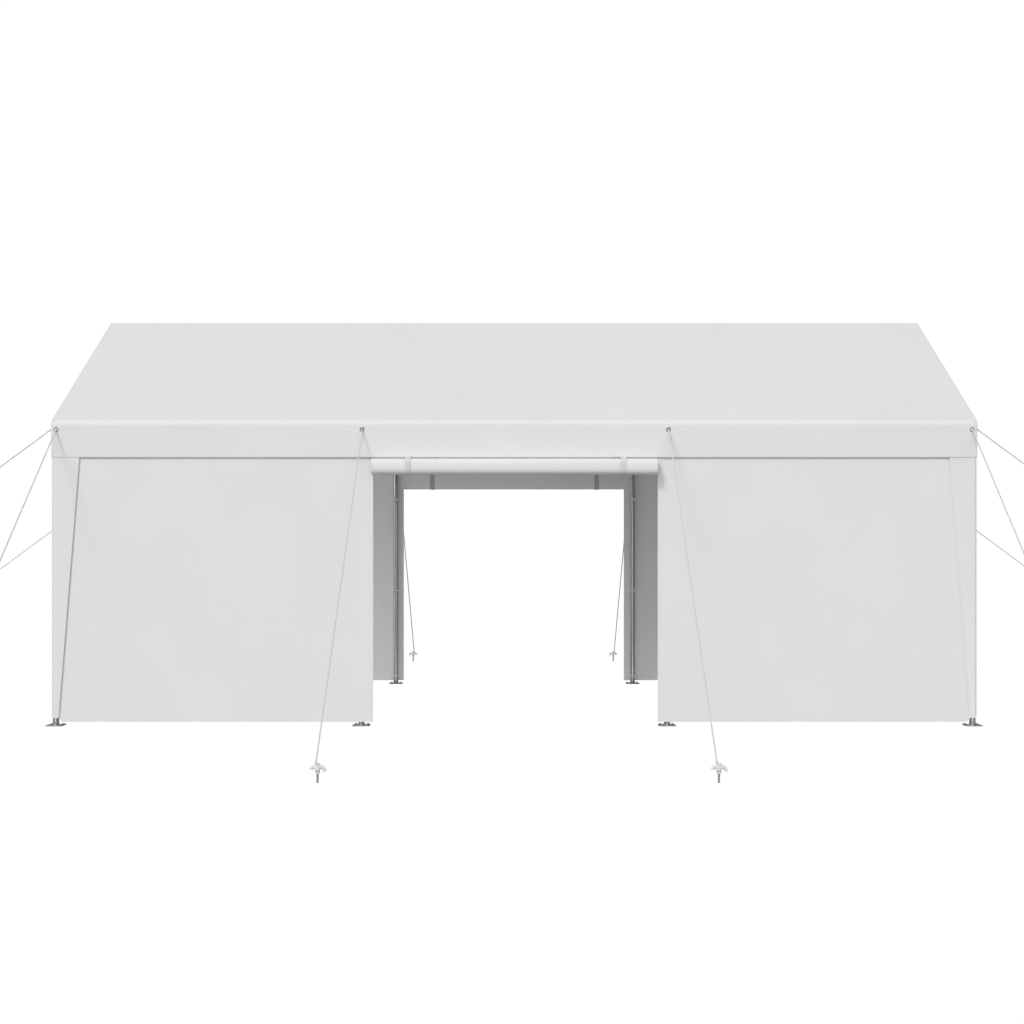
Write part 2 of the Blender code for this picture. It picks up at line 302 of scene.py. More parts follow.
foot = new_piece(
    bpy.ops.mesh.primitive_cube_add,
    "foot",
    size=1.0,
    location=(0, 0, PLATE_THICKNESS / 2),
    scale=(PLATE_SIZE, PLATE_SIZE, PLATE_THICKNESS),
)
bevel(foot, PLATE_CORNER, 5, lambda e: abs(e.verts[0].co.z - e.verts[1].co.z) > PLATE_THICKNESS / 2)
bevel(foot, 0.0006, 2, lambda e: rim(e) and e.verts[0].co.z == e.verts[1].co.z)
socket_height = SOCKET_TOP - PLATE_THICKNESS
socket = cylinder(
    "socket",
    32,
    SOCKET_RADIUS,
    socket_height,
    location=(0, 0, PLATE_THICKNESS + socket_height / 2),
    end_fill_type="NOTHING",
)
modify(socket, "SOLIDIFY", thickness=SOCKET_WALL, offset=-1.0)
bevel(socket, 0.0004, 2, rim)
weld = torus(
    "weld", SOCKET_RADIUS + 0.0008, 0.0022, 40, 8, location=(0, 0, PLATE_THICKNESS + 0.0006)
)
for vertex in weld.data.vertices:
    turn = math.atan2(vertex.co.y, vertex.co.x)
    vertex.co.z += 0.0003 * math.sin(20 * turn)
nails = []
for u, v in ((-1, -1), (1, -1), (1, 1), (-1, 1)):
    x = u * NAIL_OFFSET
    y = v * NAIL_OFFSET
    depth = NAIL_HEAD_FOOT - PLATE_THICKNESS + 0.002
    middle = PLATE_THICKNESS - 0.001 + depth / 2
    shank = cylinder("shank", 12, NAIL_RADIUS, depth, location=(x, y, middle))
    size = (NAIL_HEAD_RADIUS, NAIL_HEAD_RADIUS, NAIL_HEAD_TOP - NAIL_HEAD_FOOT)
    dome = ball("dome", 20, 12, (x, y, NAIL_HEAD_FOOT), size)
    edit(dome, "FACE", lambda f: True)
    bpy.ops.mesh.bisect(
        plane_co=(x, y, NAIL_HEAD_FOOT - 0.001), plane_no=(0, 0, 1), use_fill=True, clear_inner=True
    )
    done()
    bevel(dome, 0.0005, 2, rim)
    nails += [shank, dome]
foot = join(foot, socket, weld, *nails)
smooth(foot)
for word, side in SIDES:
    for number, x in enumerate(LEG_XS, start=1):
        name = f"foot_{word}_{number}"
        piece = copy_of(foot, name + "_plate", Matrix.Translation((x, side * LEG_Y, 0)))
        fit(piece, "foot_plate", name, material=plate_steel)
drop(foot)


# Frame tubes: eight legs, eight rafters, two eave rails and a ridge rail of 38 mm galvanised
# steel tube. They push into three-way fittings at the eaves and four-way ones at the ridge,
# whose sleeves are a little wider, with a rolled lip at each mouth and a weld at each root.
EAVE_Z = 1.968
RIDGE_Z = 2.8165
TUBE_RADIUS = 0.019
RAIL_HALF_LENGTH = 3.014
SLEEVE_RADIUS = 0.0205
SLEEVE_REACH = 0.100
SLEEVE_END = 3.020
BRANCH_RADIUS = 0.0199
SEAT = 0.0003
LIP = 0.004
RIM_MARGIN = 0.010

tube_steel, start = new_material("tube_steel", Metallic=0.9, Specular_IOR_Level=0.5)
place = start.node("ShaderNodeTexCoord", output="Object")
spangle = start.node("ShaderNodeTexVoronoi", None, {"Vector": place, "Scale": 55.0}, "Color")
flake = start.node("ShaderNodeSeparateColor", None, {0: spangle}, "Red")
dull = clouds(start, 6.0, 3.0)
feed(
    tube_steel,
    Base_Color=(0.3 * flake + 0.7 * dull).ramp(0.2, 0.8).blend(grey(0.40), grey(0.46)),
    Roughness=(0.8 * dull + 0.2 * flake).ramp(0.2, 0.8, 0.15, 0.20),
    Normal=bump(start, clouds(start, 220.0), 0.04, 0.0003),
)


def tube(name, begin, end, radius, lip=0.0):
    """A closed round tube, with a rolled lip at its far end where it is a sleeve.

    Rings of edges near both ends keep the shading straight along its length."""
    begin = Vector(begin)
    run = Vector(end) - begin
    piece = cylinder(name, 32, radius, run.length)
    bevel(piece, 0.0008, 2, rim)
    half = run.length / 2
    margin = min(RIM_MARGIN, half / 2)
    depths = [margin - half, half - margin]
    if lip:
        depths += [half - lip, half - lip / 2]
    edit(piece, "FACE", lambda f: True)
    for depth in depths:
        bpy.ops.mesh.select_all(action="SELECT")
        bpy.ops.mesh.bisect(plane_co=(0, 0, depth), plane_no=(0, 0, 1))
    done()
    if lip:
        for vertex in piece.data.vertices:
            near = 1 - abs(vertex.co.z - (half - lip / 2)) / lip
            if near > 0:
                swell = 1 + 0.03 * near
                vertex.co.x *= swell
                vertex.co.y *= swell
    turn = run.to_track_quat("Z", "Y").to_matrix().to_4x4()
    piece.data.transform(Matrix.Translation(begin + run / 2) @ turn)
    smooth(piece)
    return piece


def rafter_point(side, share):
    """Point (y, z) at a share of the way from the eave tube's centre to the ridge's."""
    return side * LEG_Y * (1 - share), EAVE_Z + (RIDGE_Z - EAVE_Z) * share


def rail(node, z, branches):
    y = branches[0][0][0]
    ends = [Vector((end * RAIL_HALF_LENGTH, y, z)) for end in (-1, 1)]
    parts = [tube(node + "_tubes", *ends, TUBE_RADIUS)]
    for x in LEG_XS:
        low = max(x - SLEEVE_REACH, -SLEEVE_END)
        high = min(x + SLEEVE_REACH, SLEEVE_END)
        parts.append(tube("sleeve", (x, y, z), (low, y, z), SLEEVE_RADIUS, LIP))
        parts.append(tube("sleeve", (x, y, z), (high, y, z), SLEEVE_RADIUS, LIP))
        for begin, end in branches:
            parts.append(tube("branch", (x, *begin), (x, *end), BRANCH_RADIUS, LIP))
    fit(join(*parts), "frame_tube", node, material=tube_steel)


rafter_length = math.hypot(LEG_Y, RIDGE_Z - EAVE_Z)
reach = SLEEVE_REACH / rafter_length
seat = (SLEEVE_REACH + SEAT) / rafter_length
for word, side in SIDES:
    eave = (side * LEG_Y, EAVE_Z)
    below = (side * LEG_Y, EAVE_Z - SLEEVE_REACH)
    rail(f"eave_rail_{word}", EAVE_Z, [(eave, below), (eave, rafter_point(side, reach))])
    for number, x in enumerate(LEG_XS, start=1):
        node = f"rafter_{word}_{number}"
        low = (x, *rafter_point(side, seat))
        high = (x, *rafter_point(side, 1 - seat))
        fit(tube(node + "_tube", low, high, TUBE_RADIUS), "frame_tube", node, material=tube_steel)
        node = f"leg_{word}_{number}"
        low = (x, side * LEG_Y, PLATE_THICKNESS + SEAT)
        high = (x, side * LEG_Y, EAVE_Z - SLEEVE_REACH - SEAT)
        fit(tube(node + "_tube", low, high, TUBE_RADIUS), "frame_tube", node, material=tube_steel)
ridge = (0.0, RIDGE_Z)
branches = [(ridge, rafter_point(side, 1 - reach)) for word, side in SIDES]
rail("ridge_rail", RIDGE_Z, branches)


# Roof cover: one sheet of white coated woven tarp lies over the frame. It bends round the
# eave rails and over both ends, and hangs down 214 mm all round as a valance. Each corner is
# sewn up, the free edge has a sewn hem, and a hole for a grommet is punched at every leg.
ROOF_END_X = 3.0262
ROOF_EAVE_RADIUS = 0.0360
ROOF_BEND_RADIUS = 0.0500
ROOF_RIDGE_RADIUS = 0.0243
VALANCE_DEPTH = 0.2141
END_BEND = 0.008
END_PULL = 0.003
TARP_THICKNESS = 0.0010
GROMMET_XS = {"front": (-2.989, -0.992, 1.007, 2.989), "rear": (-2.989, -0.996, 0.999, 2.989)}
GROMMET_Z = 1.9355
END_GROMMET_Z = 1.943
HOLE_RADIUS = 0.0128
HEM_WIDTH = 0.025
STITCH_PITCH = 0.006
STITCH_SHARE = 0.72
STITCH_INSET = 0.004
STITCH_WIDTH = 0.0007
STITCH_DARK = 0.25
TAPE_WIDTH = 0.0022
ROOF_SAG = 0.005


def steps(*stretches):
    """Grid lines from stretches of (end, spacing), starting at the first end."""
    lines = [stretches[0][0]]
    for end, spacing in stretches[1:]:
        length = end - lines[-1]
        count = max(1, round(abs(length) / spacing))
        first = lines[-1]
        lines += [first + length * step / count for step in range(1, count + 1)]
    return lines


def mirrored(lines):
    """Lines from 0 upwards, with the same below 0."""
    return [-line for line in reversed(lines[1:])] + lines


def flat_sheet(name, us, vs, place, keep=None):
    """A flat grid of cloth, cut where keep(u, v) says, whose points place(u, v) hangs.

    Its UV map holds the place in metres on the flat cloth, for the weave and the hems."""
    across = len(us) - 1
    along = len(vs) - 1
    piece = new_piece(
        bpy.ops.mesh.primitive_grid_add,
        name,
        x_subdivisions=across,
        y_subdivisions=along,
        size=1.0,
        calc_uvs=False,
    )
    bm = bmesh.new()
    bm.from_mesh(piece.data)
    cloth = bm.loops.layers.uv.new("Cloth")
    flat = {}
    for vertex in bm.verts:
        column = round((vertex.co.x + 0.5) * across)
        row = round((vertex.co.y + 0.5) * along)
        flat[vertex] = (us[column], vs[row])
    for face in bm.faces:
        for loop in face.loops:
            loop[cloth].uv = flat[loop.vert]
    if keep is not None:
        cut = []
        for face in bm.faces:
            u = sum(flat[vertex][0] for vertex in face.verts) / 4
            v = sum(flat[vertex][1] for vertex in face.verts) / 4
            if not keep(u, v):
                cut.append(face)
        bmesh.ops.delete(bm, geom=cut, context="FACES")
    for vertex in bm.verts:
        vertex.co = place(*flat[vertex])
    bmesh.ops.remove_doubles(bm, verts=bm.verts, dist=0.00002)
    bm.to_mesh(piece.data)
    bm.free()
    return piece


def thicken(piece, thickness=TARP_THICKNESS, inner=None):
    """Give a sheet its thickness inwards, from its outer face, and its soft shading."""
    if inner is not None:
        piece.data.materials.append(inner)
    modify(
        piece,
        "SOLIDIFY",
        thickness=thickness,
        offset=-1.0,
        material_offset=1 if inner is not None else 0,
    )
    smooth(piece, 50)


def cloth_place(start):
    """The place on the flat cloth in metres, as a vector and as its two parts."""
    uv = start.node("ShaderNodeUVMap", {"uv_map": "Cloth"})
    split = start.node("ShaderNodeSeparateXYZ", None, {0: uv})
    return uv, split.output("X"), split.output("Y")


def tarp(name, colour, edge=None, lines=()):
    """White coated tarp: a fine tape weave under a satin coat, soft clouding, and sewn hems.

    edge(u, v) gives the distance to the nearest hemmed edge in metres, and each of lines
    gives the distance to a sewn seam."""
    made, start = new_material(name, IOR=1.45, Specular_IOR_Level=0.35, Sheen_Weight=0.05)
    uv, u, v = cloth_place(start)
    tape = math.pi / TAPE_WIDTH
    weave = (u * tape).wave() * (v * tape).wave()
    soft = clouds(start, 1.6, 3.0, uv)
    fine = clouds(start, 45.0, 3.0, uv)
    shade = (0.75 * soft + 0.25 * fine).ramp(0.3, 0.7)
    height = 0.12 * weave + 0.10 * fine
    dark = 0.0 * u
    stitched = ((u + v) / STITCH_PITCH).part() < STITCH_SHARE
    if edge is not None:
        away = edge(u, v)
        hem = away.ramp(HEM_WIDTH - 0.001, HEM_WIDTH + 0.001, 1.0, 0.0)
        rows = abs(away - STITCH_INSET) < STITCH_WIDTH
        rows = rows + (abs(away - HEM_WIDTH + STITCH_INSET) < STITCH_WIDTH)
        height = height + hem - 0.8 * rows * stitched
        dark = dark + STITCH_DARK * rows * stitched
    for line in lines:
        away = abs(line(u, v))
        height = height + away.ramp(0.006, 0.008, 0.8, 0.0)
        dark = dark + STITCH_DARK * (abs(away - STITCH_INSET) < STITCH_WIDTH) * stitched
    light = tuple(min(1.0, value * 1.012) for value in colour)
    deep = tuple(value * 0.985 for value in colour)
    plain = shade.blend((*deep, 1.0), (*light, 1.0))
    thread = tuple(value * 0.62 for value in colour)
    feed(
        made,
        Base_Color=dark.least(1.0).blend(plain, (*thread, 1.0)),
        Roughness=fine.ramp(0.3, 0.7, 0.50, 0.60),
        Normal=bump(start, height, 0.35, 0.0009),
    )
    return made


def section(v):
    """Point (y, z) and outward normal of the roof's outer face, v metres from the ridge."""
    side = -1 if v < 0 else 1
    left = abs(v)
    if left <= v_ridge:
        turn = left / ROOF_RIDGE_RADIUS
        y = ROOF_RIDGE_RADIUS * math.sin(turn)
        z = RIDGE_Z + ROOF_RIDGE_RADIUS * math.cos(turn)
    elif left <= v_slope:
        turn = tilt
        run = left - v_ridge
        y = ROOF_RIDGE_RADIUS * math.sin(turn) + run * math.cos(turn)
        z = RIDGE_Z + ROOF_RIDGE_RADIUS * math.cos(turn) - run * math.sin(turn)
    elif left <= v_eave:
        turn = tilt + (left - v_slope) / ROOF_BEND_RADIUS
        y = LEG_Y + ROOF_EAVE_RADIUS - ROOF_BEND_RADIUS * (1 - math.sin(turn))
        z = EAVE_Z - bend_drop + ROOF_BEND_RADIUS * math.cos(turn)
    else:
        turn = math.pi / 2
        y = LEG_Y + ROOF_EAVE_RADIUS
        z = EAVE_Z - bend_drop - (left - v_eave)
    return Vector((0, side * y, z)), Vector((0, side * math.sin(turn), math.cos(turn)))


swell = ROOF_EAVE_RADIUS - ROOF_RIDGE_RADIUS
tilt = math.atan2(RIDGE_Z - EAVE_Z, LEG_Y) - math.asin(swell / rafter_length)
bend_drop = (ROOF_BEND_RADIUS - ROOF_EAVE_RADIUS) * (1 - math.sin(tilt)) / math.cos(tilt)
v_ridge = ROOF_RIDGE_RADIUS * tilt
v_slope = v_ridge + math.sqrt(rafter_length**2 - swell**2) - bend_drop
v_eave = v_slope + ROOF_BEND_RADIUS * (math.pi / 2 - tilt)
v_foot = v_eave + VALANCE_DEPTH - bend_drop
u_flat = ROOF_END_X - END_BEND
u_end = u_flat + END_BEND * math.pi / 2
u_foot = u_end + VALANCE_DEPTH


def ease(value):
    value = max(0.0, min(1.0, value))
    return value * value * (3 - 2 * value)


def crease(away_along, away_down):
    """Depth of the faint pulled folds that fan out below a grommet."""
    if away_down < 0.0:
        return 0.0
    turn = math.atan2(away_along, away_down + 0.02)
    reach = math.hypot(away_along, away_down)
    return 0.0012 * math.cos(9 * turn) * math.exp(-((reach / 0.09) ** 2)) * min(1.0, reach / 0.02)


def roof_place(u, v):
    end = -1 if u < 0 else 1
    point, normal = section(v)
    out = 0.0
    if abs(v) < v_slope and abs(u) < u_flat:
        share = (abs(v) - v_ridge) / (v_slope - v_ridge)
        bay = math.sin(math.pi * ((u + 3.0) % 2.0) / 2.0) ** 2
        out -= ROOF_SAG * bay * math.sin(math.pi * max(0.0, min(1.0, share)))
    if abs(u) <= u_end:
        turn = max(0.0, abs(u) - u_flat) / END_BEND
        x = end * (min(abs(u), u_flat) + END_BEND * math.sin(turn))
        point = point - END_BEND * (1 - math.cos(turn)) * normal
        hung = abs(v) - v_eave
        if hung > 0:
            free = min(1.0, hung / (VALANCE_DEPTH - bend_drop))
            wave = noise.noise(Vector((u * 1.3, 4.0 * math.copysign(1, v), 0.3)))
            out += 0.0016 * free * wave
            for centre in GROMMET_XS["front" if v < 0 else "rear"]:
                out += crease(u - centre, hung - (EAVE_Z - bend_drop - GROMMET_Z))
            inward = ease((u_end - abs(u)) / 0.03)
            out *= inward
            x -= end * END_PULL * min(1.0, free * 2.5) * (1 - inward)
        point = point + out * normal
        return Vector((x, point.y, point.z))
    fall = abs(u) - u_end
    fall *= 1 - bend_drop / VALANCE_DEPTH * ease((abs(v) - v_slope) / (v_eave - v_slope))
    point = point - END_BEND * normal
    free = min(1.0, fall / VALANCE_DEPTH)
    wave = noise.noise(Vector((v * 1.3, 9.0 * end, 0.7)))
    swing = 0.0012 * free * wave * min(1.0, (v_eave - abs(v)) / 0.2)
    pull = END_PULL * min(1.0, free * 2.5)
    return Vector((end * (ROOF_END_X - pull + swing), point.y, point.z - fall))


drop_lines = steps((0.0, 0), (0.015, 0.0075), (0.099, 0.006), (VALANCE_DEPTH, 0.0113))
half_vs = steps((0.0, 0), (v_ridge, 0.004), (v_ridge + 0.1, 0.033), (v_slope - 0.25, 0.075))
half_vs += steps((half_vs[-1], 0), (v_slope - 0.08, 0.0283), (v_slope, 0.00667))[1:]
half_vs += steps((v_slope, 0), (v_eave, 0.0052))[1:]
half_vs += [v_eave + step * (1 - bend_drop / VALANCE_DEPTH) for step in drop_lines[1:]]
half_us = steps((0.0, 0), (0.76, 0.076), (0.90, 0.028), (0.976, 0.0127), (1.024, 0.006))
half_us += steps((1.024, 0), (1.10, 0.0127), (1.24, 0.028), (2.76, 0.076), (2.90, 0.028))[1:]
half_us += steps((2.90, 0), (2.976, 0.0127), (u_flat, 0.0055), (u_end, 0.0032))[1:]
half_us += [u_end + step for step in drop_lines[1:]]
grommets = []
for word, side in SIDES:
    for x in GROMMET_XS[word]:
        centre = Vector((x, side * (LEG_Y + ROOF_EAVE_RADIUS), GROMMET_Z))
        grommets.append((centre, Vector((0, side, 0))))
    for end in (-1, 1):
        centre = Vector((end * (ROOF_END_X - 0.001), side * LEG_Y, END_GROMMET_Z))
        grommets.append((centre, Vector((end, 0, 0))))


def roof_keep(u, v):
    """False in the notch that is cut from each corner of the flat sheet, and in the holes."""
    if abs(u) > u_end and abs(v) > v_eave:
        return False
    point = roof_place(u, v)
    return all((point - centre).length > HOLE_RADIUS for centre, out in grommets)


# The roof's tarp is painted a little greyer than the walls' (0.78 against 0.79), a painted shade
# that evens out the stronger light on its upward slopes.
roof_tarp = tarp(
    "roof_tarp",
    (0.780, 0.780, 0.780),
    lambda u, v: (u_foot - abs(u)).least(v_foot - abs(v)),
    [lambda u, v: abs(u) - (ROOF_END_X - 0.02)],
)
roof = flat_sheet("roof_cover_tarp", mirrored(half_us), mirrored(half_vs), roof_place, roof_keep)
fit(roof, "roof_tarp", "roof_cover", material=roof_tarp)
thicken(roof)
2 * v_foot
4 * (u_foot * v_foot - VALANCE_DEPTH * (v_foot - v_eave))


# Grommets: a two-part eyelet of dark plated metal is pressed into the valance at each leg,
# with a rolled ring on the outer face, a flat washer inside, and a barrel through the tarp.
RING_RADIUS = 0.0143
RING_THICKNESS = 0.0030

eyelet_metal, start = new_material("eyelet_metal", Metallic=0.9, Specular_IOR_Level=0.5)
tarnish = clouds(start, 120.0, 3.0)
feed(
    eyelet_metal,
    Base_Color=tarnish.ramp(0.3, 0.7).blend(grey(0.28), grey(0.42)),
    Roughness=tarnish.ramp(0.3, 0.7, 0.28, 0.40),
    Normal=bump(start, tarnish, 0.1, 0.0003),
)
upright = (math.pi / 2, 0, 0)
ring = torus("ring", RING_RADIUS, RING_THICKNESS, 40, 12, rotation=upright)
for vertex in ring.data.vertices:
    vertex.co.y *= 0.42 if vertex.co.y < 0 else 0.20
    vertex.co.y -= 0.0001
washer = torus("washer", RING_RADIUS + 0.0005, RING_THICKNESS, 40, 8, rotation=upright)
for vertex in washer.data.vertices:
    vertex.co.y = 0.0015 + 0.16 * vertex.co.y
barrel = cylinder(
    "barrel",
    40,
    RING_RADIUS - RING_THICKNESS + 0.0007,
    0.0026,
    end_fill_type="NOTHING",
    rotation=upright,
    location=(0, 0.0006, 0),
)
modify(barrel, "SOLIDIFY", thickness=0.0007, offset=-1.0)
eyelet = join(ring, washer, barrel)
smooth(eyelet)
for number, (centre, out) in enumerate(grommets, start=1):
    turn = Vector((0, -1, 0)).rotation_difference(out).to_matrix().to_4x4()
    piece = copy_of(eyelet, f"grommet_{number}", Matrix.Translation(centre) @ turn)
    fit(piece, "frame_tube", material=eyelet_metal)
drop(eyelet)


# Long side walls: a panel of the same tarp hangs from the eave rail over each outer bay, on
# the outside of the legs, down to 26 mm above the ground. All its edges are hemmed, and its
# lower corner at the end of the carport is drawn up a little by the tie on the corner leg.
WALL_OUTER_Y = 1.5218
WALL_FOOT_Z = 0.0255
WALL_END_X = 3.0190
DOORWAY_XS = {"front": (-0.9218, 0.9378), "rear": (-0.928, 0.9340)}
CORNER_FOOT_Z = 0.051
WALL_TIE_ZS = (1.555, 0.787, 0.066)

# The walls' inner faces are painted whiter than their outer faces (0.90 against 0.79), a painted
# light that brightens the shaded inside of the carport.
inner_tarp_lightened = tarp("inner_tarp_lightened", (0.90, 0.90, 0.90))


def wall_panel(name, left, right, side):
    """A side wall panel between two places along the carport, seen from outside."""
    width = right - left
    height = EAVE_Z - WALL_FOOT_Z

    def place(u, v):
        x = left + u
        lift = (CORNER_FOOT_Z - WALL_FOOT_Z) * ease((abs(x) - 2.950) / 0.035)
        z = WALL_FOOT_Z + v + lift * (1 - ease(v / 0.10))
        free = ease(u / 0.10) * ease((width - u) / 0.10)
        slack = noise.noise(Vector((x * 0.9, z * 0.7, 5.0 * side)))
        fold = noise.noise(Vector((x * 2.6 + 7.0, z * 0.5, 2.0 * side)))
        out = (0.0016 * slack + 0.0006 * fold) * free * ease(v / 0.1 + 0.3)
        return Vector((x * -side, side * (WALL_OUTER_Y + out), z))

    us = steps((0.0, 0), (0.10, 0.0125), (width - 0.10, 0.045), (width, 0.0125))
    vs = steps((0.0, 0), (0.10, 0.0125), (height - 0.15, 0.060), (height, 0.0375))
    piece = flat_sheet(name, us, vs, place)
    finish = tarp(
        name,
        (0.790, 0.790, 0.790),
        lambda u, v: u.least(width - u).least(v).least(height - v),
    )
    fit(piece, "wall_tarp", name.replace("_tarp", ""), material=finish)
    thicken(piece, inner=inner_tarp_lightened)


wall_panel("front_wall_left_tarp", -WALL_END_X, DOORWAY_XS["front"][0], -1)
wall_panel("front_wall_right_tarp", DOORWAY_XS["front"][1], WALL_END_X, -1)
wall_panel("rear_wall_right_tarp", -WALL_END_X, DOORWAY_XS["rear"][0], 1)
wall_panel("rear_wall_left_tarp", DOORWAY_XS["rear"][1], WALL_END_X, 1)


# End walls: one sheet of tarp fills each end up to the rafters. It turns both corners round
# the legs and laps onto the side walls as a flap with a slanting hemmed edge, which is tied
# behind the corner leg, so that its lower corner is drawn up off the ground.
END_OUTER_X = 3.0218
FLAP_OUTER_Y = 1.5330
FLAP_TOP_Z = 1.900
FLAP_TOP_X = 2.8265
FLAP_FOOT_X = 2.9765
CORNER_BEND = 0.018
GABLE_RADIUS = 0.0203
FLAP_TUCK = {"end_wall_left": 0.0, "end_wall_right": 0.0075}


def gable_top(y):
    """Height of an end wall's upper edge, just under the roof cover."""
    away = abs(y)
    slope = math.tan(tilt)
    return RIDGE_Z + GABLE_RADIUS / math.cos(tilt) - away * slope - 0.002


corner_y = FLAP_OUTER_Y - CORNER_BEND
corner_run = CORNER_BEND * math.pi / 2
flap_reach = END_OUTER_X - CORNER_BEND - FLAP_TOP_X


def end_place(u, v, tuck):
    """Point of an end wall on the right, whose u runs from flap to flap and v from 0 to 1.

    Below the valance the free edge of each flap lies closer to the side wall by the tuck."""
    side = -1 if u < 0 else 1
    run = abs(u)
    foot = WALL_FOOT_Z + (CORNER_FOOT_Z - WALL_FOOT_Z) * ease((run - corner_y + 0.08) / 0.08)
    if run <= corner_y:
        y = run
        x = END_OUTER_X
    elif run <= corner_y + corner_run:
        turn = (run - corner_y) / CORNER_BEND
        y = corner_y + CORNER_BEND * math.sin(turn)
        x = END_OUTER_X - CORNER_BEND * (1 - math.cos(turn))
    else:
        y = FLAP_OUTER_Y
        x = None
    top = gable_top(min(run, corner_y))
    if x is None:
        share = (run - corner_y - corner_run) / flap_reach
        top = gable_top(corner_y) + (FLAP_TOP_Z - gable_top(corner_y)) * ease(share * 4)
        z = foot + (top - foot) * v
        slant = (FLAP_TOP_Z - z) / (FLAP_TOP_Z - WALL_FOOT_Z)
        edge = FLAP_TOP_X + (FLAP_FOOT_X - FLAP_TOP_X) * max(0.0, slant)
        x = END_OUTER_X - CORNER_BEND + (edge - END_OUTER_X + CORNER_BEND) * share
        y -= tuck * ease(share) * (1 - ease((z - 1.69) / 0.06))
    else:
        z = foot + (top - foot) * v
    if run < corner_y:
        free = ease((corner_y - run) / 0.15) * ease(v * 8) * ease((1 - v) * 6)
        slack = noise.noise(Vector((u * 0.9, z * 0.7, 3.0)))
        fold = noise.noise(Vector((u * 2.4 + 3.0, z * 0.5, 8.0)))
        x += (0.0018 * slack + 0.0008 * fold) * free
    return Vector((x, side * y, z))


u_flap = corner_y + corner_run + flap_reach
half = steps((0.0, 0), (corner_y - 0.12, 0.058), (corner_y, 0.02), (corner_y + corner_run, 0.0024))
half += steps((half[-1], 0), (u_flap, 0.012))[1:]
rows = steps((0.0, 0), (0.05, 0.0083), (0.95, 0.0225), (1.0, 0.0083))
end_tarp = tarp(
    "end_tarp",
    (0.790, 0.790, 0.790),
    lambda u, v: (u_flap - abs(u)).least(1.94 * v),
)
for name, turn in (("end_wall_left", math.pi), ("end_wall_right", 0.0)):
    tuck = FLAP_TUCK[name]
    piece = flat_sheet(name + "_tarp", mirrored(half), rows, lambda u, v: end_place(u, v, tuck))
    piece.data.transform(Matrix.Rotation(turn, 4, "Z"))
    fit(piece, "wall_tarp", name, material=end_tarp)
    thicken(piece, inner=inner_tarp_lightened)


# Doorway panels: the middle panel of each long side hangs from the eave rail and is rolled
# up outwards from its foot, eight turns of tarp wound loosely into a roll under the valance.
# Two webbing straps, sewn on behind the valance, pass over and under each roll and hold it.
PANEL_SPANS = {"front": (-0.9245, 0.929), "rear": (-0.930, 0.9415)}
# The rear panel is painted whiter than the front one, a painted light that brightens its roll and
# band in the shade seen through the doorway.
PANEL_WHITE_AND_LIGHT = {"front": 0.79, "rear": 0.86}
PANEL_LENGTH = EAVE_Z - WALL_FOOT_Z
PANEL_OUTER_Y = WALL_OUTER_Y + 0.0012
PANEL_RISE = {"front": 0.0, "rear": 0.004}
ROLL_RADIUS = 0.0536
ROLL_Z = 1.6919
ROLL_Y = PANEL_OUTER_Y + ROLL_RADIUS - 0.001
TURN_PITCH = 0.0052
ROLL_SQUARENESS = 3.2
STRAP_XS ={"front": (-0.690, 0.707), "rear": (-0.699, 0.694)}
STRAP_WIDTH = 0.037
STRAP_THICKNESS = 0.0016
STRAP_TOP_Z = 1.900
STRAP_SHADE_FROM = 0.400
STRAP_LEAD = 0.10
STRAP_TOUCH = math.radians(112)


def squash(turn):
    """How far out the roll reaches at an angle, as it has sagged into a slightly square one."""
    across = abs(math.cos(turn)) ** ROLL_SQUARENESS
    down = abs(math.sin(turn)) ** ROLL_SQUARENESS
    return (across + down) ** (-1 / ROLL_SQUARENESS)


def spiral_table():
    """Points (length, turn, radius) of the winding, from its outside turn to its core."""
    table = [(0.0, 0.0, ROLL_RADIUS)]
    wound = PANEL_LENGTH - (EAVE_Z - ROLL_Z)
    step = math.radians(11.25)
    while table[-1][0] < wound:
        length, turn, radius = table[-1]
        middle = ROLL_RADIUS - TURN_PITCH * (turn + step / 2) / (2 * math.pi)
        radius = ROLL_RADIUS - TURN_PITCH * (turn + step) / (2 * math.pi)
        table.append((length + middle * step, turn + step, radius))
    return table


winding = spiral_table()
wound_length = winding[-1][0]
panel_vs = [wound_length - length for length, turn, radius in reversed(winding)]
panel_vs += steps((wound_length, 0), (wound_length + EAVE_Z - ROLL_Z, 0.023))[1:]


def doorway_panel(name, word):
    """A panel as it lies on the front side; v runs from its wound end up to the eave rail."""
    left, right = PANEL_SPANS[word]

    def place(u, v):
        x = left + u
        down = wound_length - v
        if down < 0:
            sway = 0.0008 * noise.noise(Vector((x * 1.8, v * 4.0, 1.0)))
            return Vector((x, -PANEL_OUTER_Y - sway, ROLL_Z - down))
        row = min(range(len(winding)), key=lambda n: abs(winding[n][0] - down))
        length, turn, radius = winding[row]
        loose = noise.noise(Vector((x * 1.1, 1.5 * math.cos(turn), 1.5 * math.sin(turn))))
        radius += 0.0006 * loose
        for strap in STRAP_XS[word]:
            radius -= 0.0008 * math.exp(-(((x - strap) / 0.03) ** 2))
        radius *= squash(turn)
        y = -ROLL_Y + radius * math.cos(turn)
        z = ROLL_Z - radius * math.sin(turn)
        creep = 0.0015 * noise.noise(Vector((turn * 0.7, 3.0, 0.0))) * (1 if x > 0 else -1)
        return Vector((x + creep * ease((abs(x) - 0.85) / 0.07), y, z))

    us = steps((0.0, 0), (right - left, 0.0385))
    piece = flat_sheet(name, us, panel_vs, place)
    colour = (PANEL_WHITE_AND_LIGHT[word],) * 3
    finish = tarp(name, colour, lambda u, v: u.least(right - left - u).least(v))
    return piece, finish


